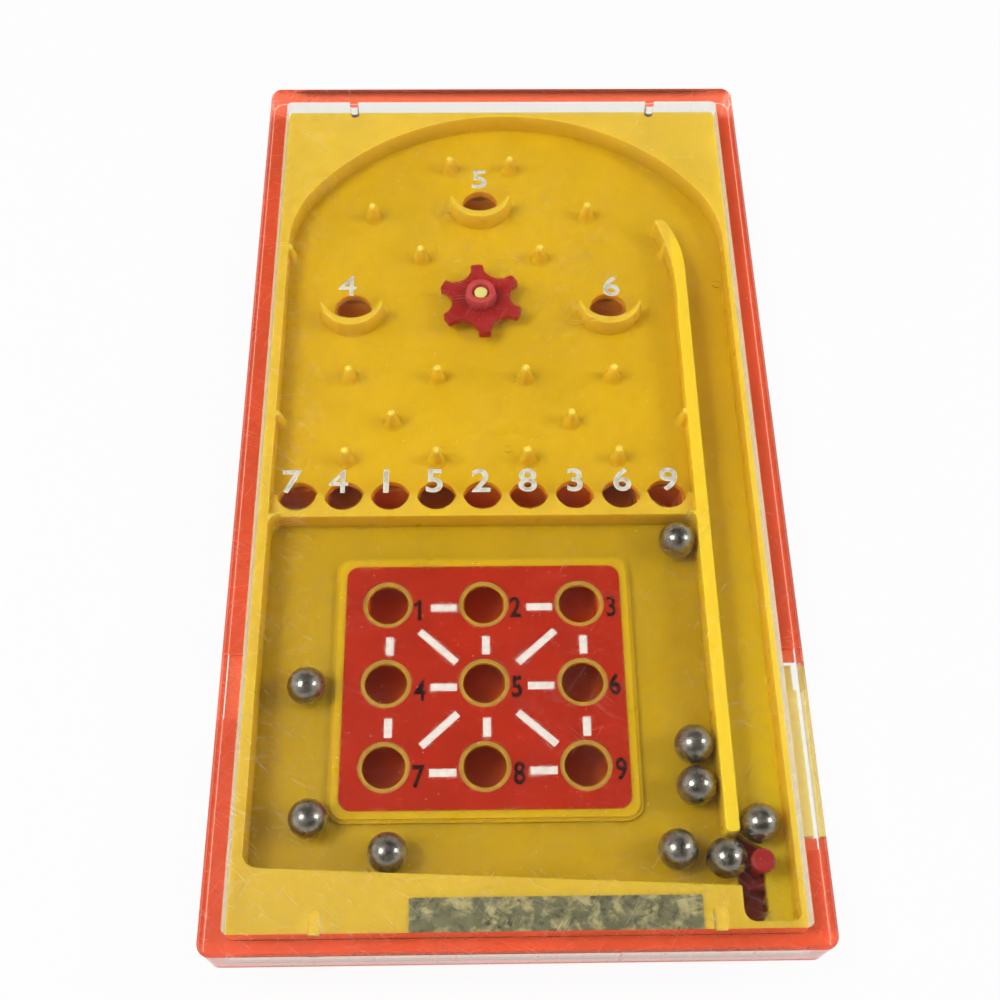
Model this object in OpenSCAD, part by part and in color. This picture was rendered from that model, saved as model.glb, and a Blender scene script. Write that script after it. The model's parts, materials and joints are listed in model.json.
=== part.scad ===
// Pocket ball game: a clear cover over a moulded playfield, on a tray whose ribs lead each caught ball
// from its hole to the numbered window below. The near end lies at -Y, and the origin is under the middle.

/* [Case] */
// Length of the case from the near end to the far end
case_l = 120; // [118:0.5:126]
// Width of the case
case_w = 66.3; // [65:0.1:72]
// Radius of the upright corners
corner_r = 1.5; // [1.3:0.1:3]
// How far the lower body stands back under the flange
body_inset = 1.5; // [1:0.1:2]
// Thickness of the lower body's upright wall
body_wall = 1.75; // [1.4:0.05:2]
// Thickness of the tray's floor
base_floor = 1.6; // [1.2:0.1:2.5]
// Bevel round the underside of the body
foot_bevel = 1; // [0.5:0.1:1.3]
// Thickness of the flange that carries the cover
flange_t = 1; // [0.8:0.1:1.8]
// Length of the notch for prying the cover off
notch_l = 7.7; // [6:0.1:9]
// Depth of the notch in the flange
notch_d = 0.5; // [0.3:0.05:0.8]

/* [Cover] */
// Thickness of the cover's upright wall
cover_wall = 2.3; // [2:0.05:2.5]
// Thickness of the cover's top
cover_top = 1; // [0.8:0.1:1.4]
// Height of the cover from its seat to its top
cover_h = 6; // [5.5:0.1:6.5]
// Bevel along the cover's upper edges
cover_bevel = 0.35; // [0.2:0.05:0.6]
// Width of the half-round ribs inside the end walls
lug_w = 1.2; // [0.8:0.1:1.6]
// Distance of the half-round ribs from the middle line
lug_x = 21.3; // [18:0.1:23]
// Reach of the ribs on the near wall
lug_near = 2.6; // [1.5:0.1:2.8]
// Reach of the ribs on the far wall
lug_far = 1.1; // [0.8:0.1:1.5]

/* [Levels] */
// Headroom of the ball channels under the playfield
channel_h = 5.2; // [5:0.1:6]
// Thickness of the playfield's floors
floor_t = 1.2; // [1:0.1:1.5]
// Step from the field's floor down to the tray and the lane
tray_drop = 1; // [0.6:0.1:1.2]
// Depth of the field below the deck
field_depth = 3; // [2.6:0.1:3.2]
// Step from the deck down to the sill with the row of holes
sill_drop = 1; // [0.5:0.1:1.4]
// Gap from the deck up to the cover
cover_gap = 2; // [1.8:0.1:2.4]
// Rise of the panel's island above the tray
island_rise = 0.8; // [0.4:0.1:0.8]

/* [Balls] */
// Diameter of the steel balls
ball_d = 4.5; // [4.3:0.05:4.6]
// Diameter of the holes and windows that catch a ball
hole_d = 5; // [4.8:0.05:5.2]

/* [Playfield] */
// Rim left of the field
rim_left = 1.2; // [1:0.05:1.4]
// Rim right of the launching lane
rim_right = 0.65; // [0.6:0.05:1]
// Rim beyond the arch
rim_far = 0.75; // [0.6:0.05:1.5]
// Width of the launching lane
lane_w = 5.65; // [5.4:0.05:5.8]
// Thickness of the wall between the field and the lane
divider_t = 1.5; // [1.2:0.05:1.6]
// Rise of the arch above the straight walls
arch_rise = 22.85; // [21:0.05:24]
// Radius of the arch's two ends
arch_end_r = 16; // [14:0.1:18]
// Distance of the row of holes from the playfield's near end
row_from_near = 53.3; // [52:0.1:54]
// Space left at each end of the row of holes
row_margin = 0.29; // [0.2:0.01:0.6]
// Rim at the lane's near end
lane_rim = 0.95; // [0.8:0.05:1.2]
// Length of the ramp from the lane up to the field
ramp_l = 8; // [6:0.5:10]
// Web between the row of holes and the tray
sill_web = 0.9; // [0.8:0.05:1.2]
// Diameter of a pin at its foot
pin_d = 2.5; // [2:0.05:2.6]
// Diameter of a pin at its tip
pin_tip_d = 1.2; // [0.9:0.05:1.3]
// Height of a pin
pin_h = 2.95; // [2.4:0.05:2.95]
// Outer radius of a scoring cup
cup_r = 4.15; // [3.9:0.05:4.3]
// Thickness of a scoring cup's wall at its middle
cup_wall = 1; // [0.8:0.05:1.2]
// Height of a scoring cup's wall
cup_h = 2.6; // [2:0.1:3]

/* [Tray and panel] */
// Distance from the row of holes to the first row of windows
grid_drop = 14.35; // [14:0.05:15]
// Distance between the rows of windows
grid_step = 10; // [9.5:0.1:10.2]
// Island left around the windows
island_margin = 6.3; // [6:0.05:6.5]
// Set-back of the printed panel from the island's edge
label_inset = 1.3; // [1:0.05:1.6]
// Thickness of the printed panel
label_t = 0.15; // [0.1:0.01:0.25]
// Thickness of the rim left round each window
window_rim = 0.5; // [0.4:0.1:0.7]
// Diameter of the panel's openings round the windows
label_hole_d = 6; // [5.6:0.05:6.4]
// Depth of the near bar at its left end
bar_left = 7.2; // [7:0.1:7.6]
// Depth of the near bar beside the lane
bar_right = 4.7; // [4.5:0.1:5]
// Width of the way from the tray into the lane
passage_w = 5.8; // [5.4:0.1:6]
// Length of the foil strip
foil_l = 31.2; // [28:0.1:34]
// Width of the foil strip
foil_w = 3.7; // [3:0.1:3.8]
// Thickness of the foil strip
foil_t = 0.1; // [0.06:0.01:0.15]

/* [Spinner] */
// Radius of the star over its teeth
star_r = 5.7; // [5.4:0.1:6.2]
// Thickness of the star
star_t = 1; // [0.8:0.1:1.6]
// Width of a tooth
tooth_w = 1.8; // [1.5:0.05:2]
// Diameter of the star's hub
hub_d = 3.8; // [3.2:0.1:4.2]
// Height of the hub above the star
hub_h = 1.7; // [1.4:0.1:1.8]
// Diameter of the pin that the star turns on
axle_d = 1.7; // [1.5:0.05:1.9]

/* [Launcher] */
// Diameter of the launching post
post_d = 1.6; // [1.4:0.05:1.7]
// Diameter of the launching post's head
head_d = 2.6; // [2.2:0.05:2.8]
// Distance of the post from the near end of the playfield
post_y = 7.3; // [7.1:0.05:7.5]
// Distance of the post from the lane's right wall
post_in = 3.5; // [3.4:0.1:3.7]
// Width of the opening in the lane's floor
slot_w = 3.1; // [3:0.05:3.4]
// Length of the launcher's slide
slide_len = 23.4; // [22:0.1:24]
// Thickness of the slide's plate
slide_t = 1.5; // [1.2:0.1:1.8]
// How far the thumb pad pulls back
pull_back = 4.2; // [3.5:0.1:4.2]
// Length of the thumb pad
pad_l = 14.2; // [12:0.1:14.8]
// Diameter of the spring's wire
wire_d = 0.3; // [0.25:0.01:0.4]
// Outer diameter of the spring
spring_d = 2.9; // [2.6:0.05:3]
// Length of the spring at rest
spring_l = 12.6; // [12:0.1:13]
// Turns of the spring
spring_turns = 8; // [6:1:9]

/* [Fits] */
// Gap between the playfield and the walls around it
seat_gap = 0.1; // [0.05:0.01:0.2]
// Gap between the ribs and the playfield's underside
rib_gap = 0.2; // [0.1:0.05:0.4]
// Radial gap of the star on its pin
axle_gap = 0.08; // [0.05:0.01:0.1]
// Gap around the sliding launcher
slide_gap = 0.25; // [0.2:0.05:0.35]
// Thickness of the ribs between the channels
rib_t = 0.9; // [0.7:0.05:1]

/* [Hidden] */
$fn = 64;
eps = 0.01;
far = 200;

// Levels above the table
ledge_z = base_floor + channel_h;
tray_z = ledge_z + floor_t;
field_z = tray_z + tray_drop;
deck_z = field_z + field_depth;
sill_z = deck_z - sill_drop;
roof_z = deck_z + cover_gap;
case_h = roof_z + cover_top;
seat_z = case_h - cover_h;
island_z = tray_z + island_rise;
ball_r = ball_d / 2;

// Plan of the case
body_w = case_w - 2 * body_inset;
body_l = case_l - 2 * body_inset;
inner_w = case_w - 2 * cover_wall;
inner_l = case_l - 2 * cover_wall;
play_w = inner_w - 2 * seat_gap;
play_l = inner_l - 2 * seat_gap;
inner_r = 0.7;
play_r = inner_r - seat_gap;
near_y = -play_l / 2;
row_y = near_y + row_from_near;

// Plan of the playfield
field_l = -play_w / 2 + rim_left;
lane_r = play_w / 2 - rim_right;
lane_l = lane_r - lane_w;
field_r = lane_l - divider_t;
field_x = (field_l + field_r) / 2;
hole_pitch = hundredths((field_r - field_l - 2 * row_margin) / 9);
arch_x = (field_l + lane_r) / 2;
arch_half = (lane_r - field_l) / 2;
arch_y = play_l / 2 - rim_far - arch_rise;
arch_c = arch_half - arch_end_r;
// The arch's long middle radius follows from its meeting the two end radii smoothly.
arch_r = (arch_c * arch_c + arch_rise * arch_rise - arch_end_r * arch_end_r) / (2 * (arch_rise - arch_end_r));
arch_mid_y = arch_y + arch_rise - arch_r;
sill_y = row_y - 0.3;
tray_y = row_y - hole_d / 2 - sill_web;
divider_end_y = near_y + bar_right + passage_w;
lane_near_y = near_y + lane_rim;
ramp_y = arch_y - ramp_l;
// From the row of holes to the crown of the arch
reach = play_l / 2 - rim_far - row_y;
lane_tip = 3.6;

// Places across the field are in steps of the hole pitch, and those ahead of the row in shares of the reach.
hole_cols = [-4 : 4];
pin_rows = [
    [0.0916, [-3, -1, 1, 3]],
    [0.1815, [-2, 2]],
    [0.2927, [-3, -1, 1, 3]],
    [0.6132, [-1.42, 1.42]],
    [0.7343, [-2.6, 2.6]],
    [0.8733, [-0.74, 0.74]]
];
// Half pins on the field's walls, the last one on the divider's bend
pegs = [[field_l, 0.1815], [field_r, 0.1815], [field_l, 0.6181], [field_r - 0.55, 0.6198]];
cups = [[0, 0.7719], [-3, 0.4759], [3, 0.4759]];
grid_cols = [-2, 0, 2];
star_y = ahead_y(0.4767);
axle_r = axle_d / 2;
star_lift = 1.4;
star_z = field_z + star_lift;
marks = [[field_x + 3.2, row_y + 4.3], [lane_r - 2.1, star_y + 0.2]];

island_w = 4 * hole_pitch + 2 * island_margin;
island_l = 2 * grid_step + 2 * island_margin;
grid_y = row_y - grid_drop;
island_y = grid_y - grid_step;
island_x = field_x - island_w / 2;
notch_y = grid_y - 10.8;

// Launcher
post_x = lane_r - post_in;
post_at_y = near_y + post_y;
slot_r = slot_w / 2;
slot_x = post_x - slot_w * 0.2;
slot_near_y = post_at_y - pull_back - 0.05;
slot_far_y = post_at_y + 1.3 * slot_w;
slide_z = ledge_z - slide_gap - slide_t;
slide_l = field_r + divider_t / 3;
slide_r = body_w / 2 - body_wall - slide_gap;
slide_near_y = post_at_y - 2;
slide_far_y = slide_near_y + slide_len;
tab_t = 1;
tab_y = slide_far_y - 3 * tab_t;
stop_y = tab_y - spring_l;
pad_far_y = slide_far_y - 1.3 * tab_t;
pad_near_y = pad_far_y - pad_l;
pad_out = body_w / 2 - slide_gap;
pad_z = base_floor + 1.2;
window_near_y = pad_near_y - pull_back - slide_gap;
step_far_y = pad_far_y + 4.75;
// Deep part of the flange's cut-out, which holds the playfield's tab
cut_near_y = window_near_y + 1.3;
cut_far_y = step_far_y - 1.5;
tab_out = case_w / 2 - 0.35;
spring_x = (slide_l + slide_r) / 2;
spring_z = base_floor + slide_gap + spring_d / 2;
rail_w = 0.8;
rail_x = spring_d / 2 + 2 * slide_gap;

// Resting places of the balls in the tray and the lane
ball_spots = [
    [field_r - ball_r - 0.2, tray_y - ball_r - 1],
    [island_x - ball_r - 0.5, grid_y - 10.7],
    [field_r - ball_r - 0.25, divider_end_y + 10.35],
    [field_r - ball_r - 0.35, divider_end_y + 5.55],
    [lane_r - ball_r - 0.85, post_at_y + ball_d],
    [field_r - 1.15 * ball_d, divider_end_y - 1.5],
    [field_r + 0.05, divider_end_y - 2.5],
    [island_x + 0.5 - ball_r, divider_end_y + 2.3],
    [field_l + 15.5, divider_end_y - 1.5]
];

// Places are kept to whole hundredths of a millimetre
function hundredths(v) = round(v * 100) / 100;
function col_x(i) = field_x + i * hole_pitch;
function ahead_y(share) = hundredths(row_y + share * reach);
function win_y(i) = grid_y - i * grid_step;

// Plain rectangle with round corners
module plan(w, l, r) {
    square([w - 2 * r, l], center = true);
    square([w, l - 2 * r], center = true);
    for (x = [-1, 1], y = [-1, 1])
        translate([x * (w / 2 - r), y * (l / 2 - r)]) circle(r);
}

module slab(w, l, r, z0, z1) {
    translate([0, 0, z0]) linear_extrude(z1 - z0) plan(w, l, r);
}

module box(x0, x1, y0, y1, z0, z1) {
    translate([x0, y0, z0]) cube([x1 - x0, y1 - y0, z1 - z0]);
}

// Upright rib between two points of the plan, running on past both by the given length
module rib(a, b, z0, z1, past = 0) {
    d = b - a;
    translate([a[0], a[1], z0]) rotate(atan2(d[1], d[0]))
        translate([-past, -rib_t / 2, 0]) cube([norm(d) + 2 * past, rib_t, z1 - z0]);
}

// Filler that rounds one square corner of a pocket; sx and sy point into the pocket
module corner_fill(x, y, sx, sy, r) {
    translate([x, y]) difference() {
        translate([sx > 0 ? -1 : -r, sy > 0 ? -1 : -r]) square(r + 1);
        translate([sx * r, sy * r]) circle(r);
    }
}

// Base tray

module base_body() {
    r = corner_r - body_inset / 3;
    hull() {
        slab(body_w - 2 * foot_bevel, body_l - 2 * foot_bevel, r * 0.6, 0, eps, $fn = 32);
        slab(body_w, body_l, r, foot_bevel, foot_bevel + eps, $fn = 32);
    }
    slab(body_w, body_l, r, foot_bevel, seat_z);
    slab(case_w, case_l, corner_r, seat_z - flange_t, seat_z);
}

// Ribs that lead a ball from each hole of the row to its window
module channel_ribs() {
    top = ledge_z - rib_gap;
    z = base_floor - eps;
    start = row_y + 3.1;
    stop = ball_r + 0.55;
    turn = ball_r + 2.2;
    low = win_y(2) - stop;
    past = rib_t / 2;
    // Long ribs: place across in hole pitches, and where each ends
    ends = [
        [-3.5, win_y(2) + turn], [-2.5, win_y(1) + turn], [-1.5, low], [-0.5, win_y(1) + turn],
        [0.5, win_y(2) + turn], [1.5, low], [2.5, win_y(1) + turn], [3.5, win_y(2) + turn],
        [4.5, body_wall - body_l / 2]
    ];
    for (e = ends) rib([col_x(e[0]), e[1]], [col_x(e[0]), start], z, top, past);
    rib([col_x(-0.5), low], [col_x(-0.5), win_y(1) - stop], z, top, past);
    // Stops under the first row of windows
    for (c = grid_cols) rib([col_x(c - 0.5), win_y(0) - stop], [col_x(c + 0.5), win_y(0) - stop], z, top);
    // Sloping stops that turn the other balls in under their windows: from, to, row
    slopes = [[-3.5, -1.5, 1], [-1.5, 0.5, 1], [3.5, 1.5, 1], [-4.7, -1.5, 2], [1.5, -0.5, 2], [4.5, 1.5, 2]];
    for (s = slopes)
        rib([col_x(s[0]), win_y(s[2]) - stop + 1.4], [col_x(s[1]), win_y(s[2]) - stop], z, top);
    // Wall behind the row, open where a cup's channel comes in
    for (c = [[-4.7, -3.5], [-2.5, -1.5], [-0.5, 2.5], [3.5, 4.5]])
        rib([col_x(c[0]), start], [col_x(c[1]), start], z, top);
    // Channels of the three cups
    for (c = cups) {
        y = ahead_y(c[1]) + ball_r + 1;
        in = c[0] == 0 ? -1 : c[0];
        for (s = [-0.5, 0.5]) rib([col_x(in + s), start], [col_x(c[0] + s), y], z, top, past);
        rib([col_x(c[0] - 0.5), y], [col_x(c[0] + 0.5), y], z, top);
    }
}

// Rails under the launcher and the stop that its spring pushes on
module launcher_bed() {
    for (s = [-1, 1])
        box(spring_x + s * rail_x - rail_w / 2, spring_x + s * rail_x + rail_w / 2,
            slide_near_y - pull_back, slide_far_y, base_floor - eps, slide_z - 0.1);
    box(spring_x - spring_d / 2, spring_x + spring_d / 2,
        stop_y - tab_t, stop_y, base_floor - eps, slide_z - slide_gap);
}

module base_tray() {
    color("orangered") {
        difference() {
            base_body();
            slab(body_w - 2 * body_wall, body_l - 2 * body_wall, 1.2, base_floor, far);
            slab(inner_w, inner_l, inner_r, ledge_z, far);
            // Opening in the side wall for the thumb pad
            box(slide_r, far, window_near_y, pad_far_y + slide_gap, pad_z - slide_gap, ledge_z + eps);
            // Cut-out in the flange above it, with a shallow step at each end
            box(inner_w / 2 - eps, far, cut_near_y, cut_far_y, ledge_z, far);
            box(inner_w / 2 + 0.4, far, window_near_y, step_far_y, seat_z - notch_d, far);
            // Notch under the cover's left edge, for prying it off
            box(-far, -inner_w / 2 - 0.4, notch_y - notch_l / 2, notch_y + notch_l / 2,
                seat_z - notch_d, far);
        }
        channel_ribs();
        launcher_bed();
    }
}

// Playfield

module arch_plan() {
    for (s = [-1, 1]) translate([arch_x + s * arch_c, arch_y]) circle(arch_end_r, $fn = 128);
    intersection() {
        translate([arch_x, arch_mid_y]) circle(arch_r, $fn = 180);
        polygon([
            [arch_x, arch_mid_y],
            [arch_x - 3 * arch_c, arch_mid_y + 3 * (arch_y - arch_mid_y)],
            [arch_x - 3 * arch_c, far], [arch_x + 3 * arch_c, far],
            [arch_x + 3 * arch_c, arch_mid_y + 3 * (arch_y - arch_mid_y)]
        ]);
    }
    polygon([
        [field_l, sill_y], [lane_r, sill_y], [lane_r, arch_y],
        [arch_x + arch_c, arch_y + eps], [arch_x, arch_mid_y + arch_r / 2],
        [arch_x - arch_c, arch_y + eps], [field_l, arch_y]
    ]);
}

// Wall between field and lane, with a tip that bends over the field
module divider_plan() {
    bend = arch_end_r;
    tip_y = arch_y + lane_tip;
    low = tip_y - 8.2;
    difference() {
        union() {
            translate([field_r, divider_end_y + 0.5]) square([divider_t, low - divider_end_y - 0.5 + eps]);
            translate([field_r + 0.5, divider_end_y]) square([divider_t - 1, 1]);
            for (s = [0.5, divider_t - 0.5]) translate([field_r + s, divider_end_y + 0.5]) circle(0.5, $fn = 32);
            intersection() {
                translate([lane_l - bend, low]) circle(bend, $fn = 128);
                translate([field_r - 2, low]) square([divider_t + 2, tip_y - low]);
            }
        }
        difference() {
            translate([field_r - 3, low]) square([3 + divider_t, far]);
            translate([lane_l - bend, low]) circle(bend, $fn = 128);
        }
        translate([field_r - 2 * bend - 2.9, low - 4]) circle(2 * bend + 3, $fn = 128);
    }
}

module tray_plan() {
    slope_x = lane_l - 0.4;
    difference() {
        polygon([
            [field_l, near_y + bar_left], [slope_x, near_y + bar_right],
            [slope_x, lane_near_y], [lane_r, lane_near_y],
            [lane_r, arch_y], [lane_l, arch_y], [lane_l, divider_end_y + 1],
            [field_r, divider_end_y + 1], [field_r, tray_y], [field_l, tray_y]
        ]);
        corner_fill(field_l, near_y + bar_left, 1, 1, 1.6);
        corner_fill(field_l, tray_y, 1, -1, 1.6);
        corner_fill(field_r, tray_y, -1, -1, 1.2);
        corner_fill(slope_x, lane_near_y, 1, 1, 1.3);
        corner_fill(lane_r, lane_near_y, -1, 1, 0.9);
    }
}

// Opening in the lane's floor that the launching post runs in, cut on the slant at its far end
module slot_plan() {
    translate([slot_x, slot_near_y]) circle(slot_r);
    polygon([
        [slot_x - slot_r, slot_near_y], [slot_x + slot_r, slot_near_y],
        [slot_x + slot_r, slot_far_y - 1.75], [slot_x - slot_r, slot_far_y]
    ]);
}

// Pin with a flared foot and a round tip
module pin() {
    foot = pin_d / 2;
    tip = pin_tip_d / 2;
    rotate_extrude($fn = 24) polygon([
        [0, 0], [foot, 0], [foot * 0.8, pin_h * 0.1], [foot * 0.68, pin_h * 0.3], [tip * 1.1, pin_h * 0.65],
        [tip * 0.95, pin_h - tip * 0.8], [tip * 0.6, pin_h - tip * 0.22], [0, pin_h]
    ]);
}

// Crescent wall on the near side of a scoring hole, thinner towards its ends
module cup() {
    shift = 1.06;
    difference() {
        cylinder(h = cup_h, r1 = cup_r + 0.25, r2 = cup_r);
        translate([0, shift, -1]) cylinder(h = cup_h + 2, r = cup_r - cup_wall + shift);
        translate([-cup_r - 1, -0.5, -1]) cube([2 * cup_r + 2, 2 * cup_r, cup_h + 2]);
    }
}

module playfield_walls() {
    difference() {
        union() {
            slab(play_w, play_l, play_r, field_z - floor_t, deck_z);
            intersection() {
                slab(play_w, play_l, play_r, ledge_z, deck_z);
                union() {
                    box(-far, far, -far, tray_y + floor_t, 0, far);
                    box(lane_l - floor_t, far, -far, arch_y, 0, far);
                }
            }
            // Skirt that stands on the tray's ledge
            difference() {
                slab(play_w, play_l, play_r, ledge_z, field_z);
                slab(play_w - 1.7, play_l - 1.7, 0.4, 0, far);
            }
            // Tab in the flange's cut-out above the thumb pad, lower at its far end
            box(play_w / 2 - 1, tab_out, cut_near_y + seat_gap, cut_far_y - seat_gap, ledge_z, tray_z - 0.5);
            box(play_w / 2 - 1, tab_out, cut_near_y + seat_gap, pad_far_y - 0.4, ledge_z, seat_z - seat_gap);
        }
        // Field with its arch, then the tray and the lane one step deeper
        translate([0, 0, field_z]) linear_extrude(far) difference() {
            arch_plan();
            divider_plan();
        }
        translate([0, 0, tray_z]) linear_extrude(far) difference() {
            tray_plan();
            divider_plan();
            translate([-far, ramp_y]) square(2 * far);
        }
        // Ramp from the lane's floor up to the field's
        translate([lane_l, 0, 0]) rotate([90, 0, 90]) linear_extrude(lane_w)
            polygon([[ramp_y - eps, tray_z], [arch_y, field_z], [arch_y, far], [ramp_y - eps, far]]);
        // Sill that carries the row of holes
        box(field_l, field_r, tray_y - eps, sill_y + eps, sill_z, far);
        // Hollows moulded under the far corners and the near bar
        translate([0, 0, -1]) linear_extrude(deck_z - floor_t + 1) difference() {
            plan(play_w - 2 * floor_t, play_l - 2 * floor_t, 0.5);
            translate([-far, -far]) square([2 * far, arch_y + far]);
            for (s = [-1, 1]) translate([arch_x + s * arch_c, arch_y])
                circle(arch_end_r + floor_t, $fn = 128);
            translate([arch_x, arch_mid_y]) circle(arch_r + floor_t, $fn = 180);
        }
        box(field_l + 1, field_r - 3, near_y + 1, near_y + bar_right - floor_t - 0.4,
            0, deck_z - floor_t);
    }
}

module playfield() {
    color("gold") difference() {
        union() {
            playfield_walls();
            translate([field_x, island_y, tray_z - eps]) {
                linear_extrude(island_rise - 0.3 + eps) plan(island_w, island_l, 2);
                linear_extrude(island_rise + eps) plan(island_w - 0.8, island_l - 0.8, 1.6);
            }
            // Pins in the field, and half pins on the walls
            for (row = pin_rows, i = row[1])
                translate([col_x(i), ahead_y(row[0]), field_z - eps]) pin();
            for (p = pegs) intersection() {
                translate([p[0], ahead_y(p[1]), field_z - eps]) pin();
                box(field_l - 0.5, field_r + 0.5, -far, far, 0, far);
            }
            for (c = cups) translate([col_x(c[0]), ahead_y(c[1]), field_z - eps]) cup();
            // Boss and pin of the star
            translate([field_x, star_y, field_z - eps]) {
                cylinder(h = star_lift - 0.1, d = hub_d);
                cylinder(h = star_lift + star_t + hub_h - 0.3, r = axle_r);
            }
        }
        for (i = hole_cols) translate([col_x(i), row_y, 0]) cylinder(h = far, d = hole_d);
        for (c = cups) translate([col_x(c[0]), ahead_y(c[1]), 0]) cylinder(h = far, d = hole_d);
        // Windows, wider below their rims so that the ball beneath shows
        for (i = grid_cols, j = [0 : 2]) translate([col_x(i), win_y(j), 0]) {
            cylinder(h = far, d = hole_d);
            cylinder(h = island_z - window_rim, d = hole_d + 2.4);
        }
        linear_extrude(tray_z + 1) slot_plan();
    }
}

// Clear cover

module clear_cover() {
    color("white", 0.3) {
        difference() {
            union() {
                slab(case_w, case_l, corner_r, seat_z, case_h - cover_bevel);
                hull() {
                    slab(case_w, case_l, corner_r, case_h - cover_bevel - eps, case_h - cover_bevel, $fn = 32);
                    slab(case_w - 2 * cover_bevel, case_l - 2 * cover_bevel, corner_r - cover_bevel,
                        case_h - eps, case_h, $fn = 32);
                }
            }
            slab(inner_w, inner_l, inner_r, 0, roof_z);
        }
        // Two small round moulding marks under the top
        for (m = marks) translate([m[0], m[1], roof_z - 0.12]) cylinder(h = 0.12 + eps, d = 1, $fn = 32);
        for (x = [-lug_x, lug_x]) {
            lug(x, 1, lug_far);
            lug(x, -1, lug_near);
        }
    }
}

// Rib on an end wall that holds the playfield down
module lug(x, side, reach) {
    z = deck_z + 0.05;
    r = lug_w / 2;
    y = side * (inner_l / 2 - reach + r);
    translate([x, y, z]) cylinder(h = roof_z - z + eps, r = r, $fn = 32);
    y1 = side * (inner_l / 2 + 0.5);
    box(x - r, x + r, min(y, y1), max(y, y1), z, roof_z + eps);
}

// Printed panel and foil strip

module grid_label() {
    color("firebrick") translate([0, 0, island_z]) linear_extrude(label_t) difference() {
        translate([field_x, island_y]) plan(island_w - 2 * label_inset, island_l - 2 * label_inset, 1.5);
        for (i = grid_cols, j = [0 : 2]) translate([col_x(i), win_y(j)]) circle(d = label_hole_d);
    }
}

module foil_strip() {
    x = lug_x - lug_w / 2 - 1 - foil_l;
    color("darkseagreen") box(x, x + foil_l, near_y + 0.1, near_y + 0.1 + foil_w, deck_z, deck_z + foil_t);
}

// Star spinner

// A tooth is a straight bar with its end corners rounded, and the valleys between are round.
module star_plan() {
    tip = 0.45;
    valley_r = 2.2;
    valley_d = tooth_w - 0.1 + 2 * valley_r;
    difference() {
        union() {
            circle(star_r * 0.8);
            for (a = [0 : 60 : 300]) rotate(a) {
                translate([-tooth_w / 2, 0]) square([tooth_w, star_r - tip]);
                translate([-tooth_w / 2 + tip, 0]) square([tooth_w - 2 * tip, star_r]);
                for (s = [-1, 1]) translate([s * (tooth_w / 2 - tip), star_r - tip]) circle(tip, $fn = 24);
            }
        }
        for (a = [30 : 60 : 330]) rotate(a) translate([0, valley_d]) circle(valley_r, $fn = 48);
        circle(axle_r + axle_gap);
    }
}

module star_spinner() {
    color("firebrick") translate([field_x, star_y, star_z]) rotate(5.5) {
        linear_extrude(star_t) star_plan();
        // Hub with a wider mouth round the pin
        translate([0, 0, star_t - eps]) difference() {
            cylinder(h = hub_h + eps, d1 = hub_d + 0.6, d2 = hub_d);
            translate([0, 0, -1]) cylinder(h = hub_h + 3, r = axle_r + axle_gap);
            translate([0, 0, hub_h - 0.7]) cylinder(h = 1, d1 = axle_d + 0.5, d2 = axle_d + 0.9);
        }
    }
}

// Launcher

module launcher_slide() {
    post_h = deck_z + 0.4 - slide_z;
    color("crimson") {
        difference() {
            translate([0, 0, slide_z]) linear_extrude(slide_t) polygon([
                [slide_l, slide_near_y], [slide_r - tab_t, slide_near_y], [slide_r, slide_near_y + tab_t],
                [slide_r, slide_far_y], [slide_l, slide_far_y]
            ]);
            // Relief cut over the plate's middle
            box(slide_l + tab_t, slide_r - tab_t, stop_y + 2 * tab_t, tab_y - 2 * tab_t,
                slide_z + slide_t / 2, far);
        }
        translate([post_x, post_at_y, slide_z]) {
            cylinder(h = post_h - 1, d = post_d);
            translate([0, 0, post_h - 1.2]) cylinder(h = 1, d = head_d);
            translate([0, 0, post_h - 0.2 - eps]) cylinder(h = 0.2 + eps, d1 = head_d, d2 = head_d - 0.4);
        }
        // Tab that the spring pushes forward
        box(spring_x - spring_d / 2, spring_x + spring_d / 2, tab_y, tab_y + tab_t,
            base_floor + slide_gap, slide_z + eps);
        thumb_pad();
    }
}

// Pad in the side opening, ribbed across for the thumb
module thumb_pad() {
    difference() {
        box(slide_r - tab_t / 2, pad_out, pad_near_y, pad_far_y, pad_z, slide_z + slide_t);
        for (y = [pad_near_y + 1.5 : 1.45 : pad_far_y - 1]) box(pad_out - 0.4, far, y, y + 0.6, 0, far);
    }
}

// Compression spring: one tube along a helix, its ends turned square to the stop and the tab
spring_path = let (
    n = 8 * spring_turns,
    r = (spring_d - wire_d) / 2,
    len = tab_y - stop_y,
    lead = 1.5 * wire_d
) concat(
    [[r, 0, 0, 0], [r, lead - 0.5 * wire_d, 0, 0]],
    [for (i = [0 : n]) [r * cos(i * 45), lead + (len - 2 * lead) * i / n, r * sin(i * 45), i * 45]],
    [[r, len - lead + 0.5 * wire_d, 0, 0], [r, len, 0, 0]]
);

function path_point(i) = [for (k = [0 : 2]) spring_path[i][k]];

function ring(i, sides) = let (
    last = len(spring_path) - 1,
    t = path_point(min(i + 1, last)) - path_point(max(i - 1, 0)),
    a = spring_path[i][3],
    u = [cos(a), 0, sin(a)],
    w = cross(t, u),
    v = w / norm(w)
) [for (k = [0 : sides - 1]) path_point(i)
    + wire_d / 2 * (cos(k * 360 / sides) * u + sin(k * 360 / sides) * v)];

function spring_gap() = let (n = len(spring_path)) min([
    for (i = [2 : n - 11], j = [i + 6 : min(i + 10, n - 3)]) norm(path_point(i) - path_point(j))
]) - wire_d;

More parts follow.
